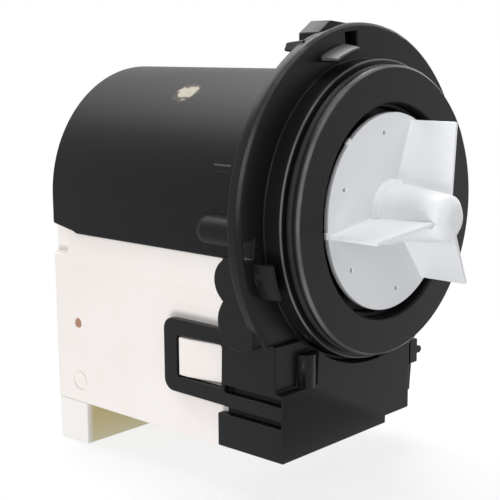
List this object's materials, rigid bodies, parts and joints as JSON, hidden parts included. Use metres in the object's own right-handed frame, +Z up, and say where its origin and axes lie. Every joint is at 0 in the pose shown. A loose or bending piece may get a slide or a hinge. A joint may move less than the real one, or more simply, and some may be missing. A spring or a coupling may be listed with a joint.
{
  "type": "washer drain pump",
  "caption": "Drain pump motor with a round flange and spigot collar, a bladed impeller in front, a tunnel-shaped cover and a white coil box with a connector below.",
  "frame": {"origin": "on the rotor axis, in the plane of the flange's front face, where the spigot begins", "axes": "rotor axis along Y, impeller and spigot towards -Y, coil box below at -Z, +Z up"},
  "size_m": [0.088, 0.108, 0.1118],
  "materials": {
    "black_plastic": "satin moulded black",
    "cover_plastic": "satin moulded black",
    "white_plastic": "smooth moulded warm white",
    "ivory_plastic": "smooth moulded ivory",
    "impeller_plastic": "smooth moulded cool white",
    "inner_plastic": "moulded dark grey",
    "bobbin_plastic": "moulded natural nylon",
    "washer_plastic": "plain",
    "rubber": "matte",
    "steel": "ground",
    "core_steel": "stamped laminations",
    "magnet": "sintered ferrite",
    "bronze": "sintered",
    "copper": "enamelled wire",
    "terminal_metal": "tinned"
  },
  "bodies": {
    "housing": {"front_housing": "black_plastic", "spigot_oring": "rubber", "motor_cover": "cover_plastic", "coil_box": "white_plastic", "winding_pin": "copper", "connector_shroud": "ivory_plastic", "terminal_left": "terminal_metal", "terminal_right": "terminal_metal", "bearing_carrier": "inner_plastic", "carrier_seal": "rubber", "front_bush": "bronze", "shaft_seal": "rubber", "rear_bush": "bronze", "rear_bush_cup": "rubber", "stator_core": "core_steel", "core_rivets": "steel", "bobbin_left": "bobbin_plastic", "bobbin_right": "bobbin_plastic", "winding_left": "copper", "winding_right": "copper", "thermal_cutout": "bobbin_plastic"},
    "rotor": {"rotor_shaft": "steel", "rotor_magnet": "magnet", "magnet_carrier": "inner_plastic", "drive_dog": "inner_plastic", "clutch_buffer": "rubber", "front_washer": "washer_plastic", "rear_washer": "washer_plastic"},
    "impeller": {"impeller": "impeller_plastic", "hub_cap": "impeller_plastic"}
  },
  "joints": [
    {"name": "rotor_spin", "type": "hinge", "parent": "housing", "child": "rotor", "pos_m": [0, 0, 0], "axis": [0, -1, 0], "continuous": true},
    {"name": "impeller_clutch", "type": "hinge", "parent": "rotor", "child": "impeller", "pos_m": [0, -0.015, 0], "axis": [0, -1, 0], "range_deg": [-95, 95]}
  ]
}
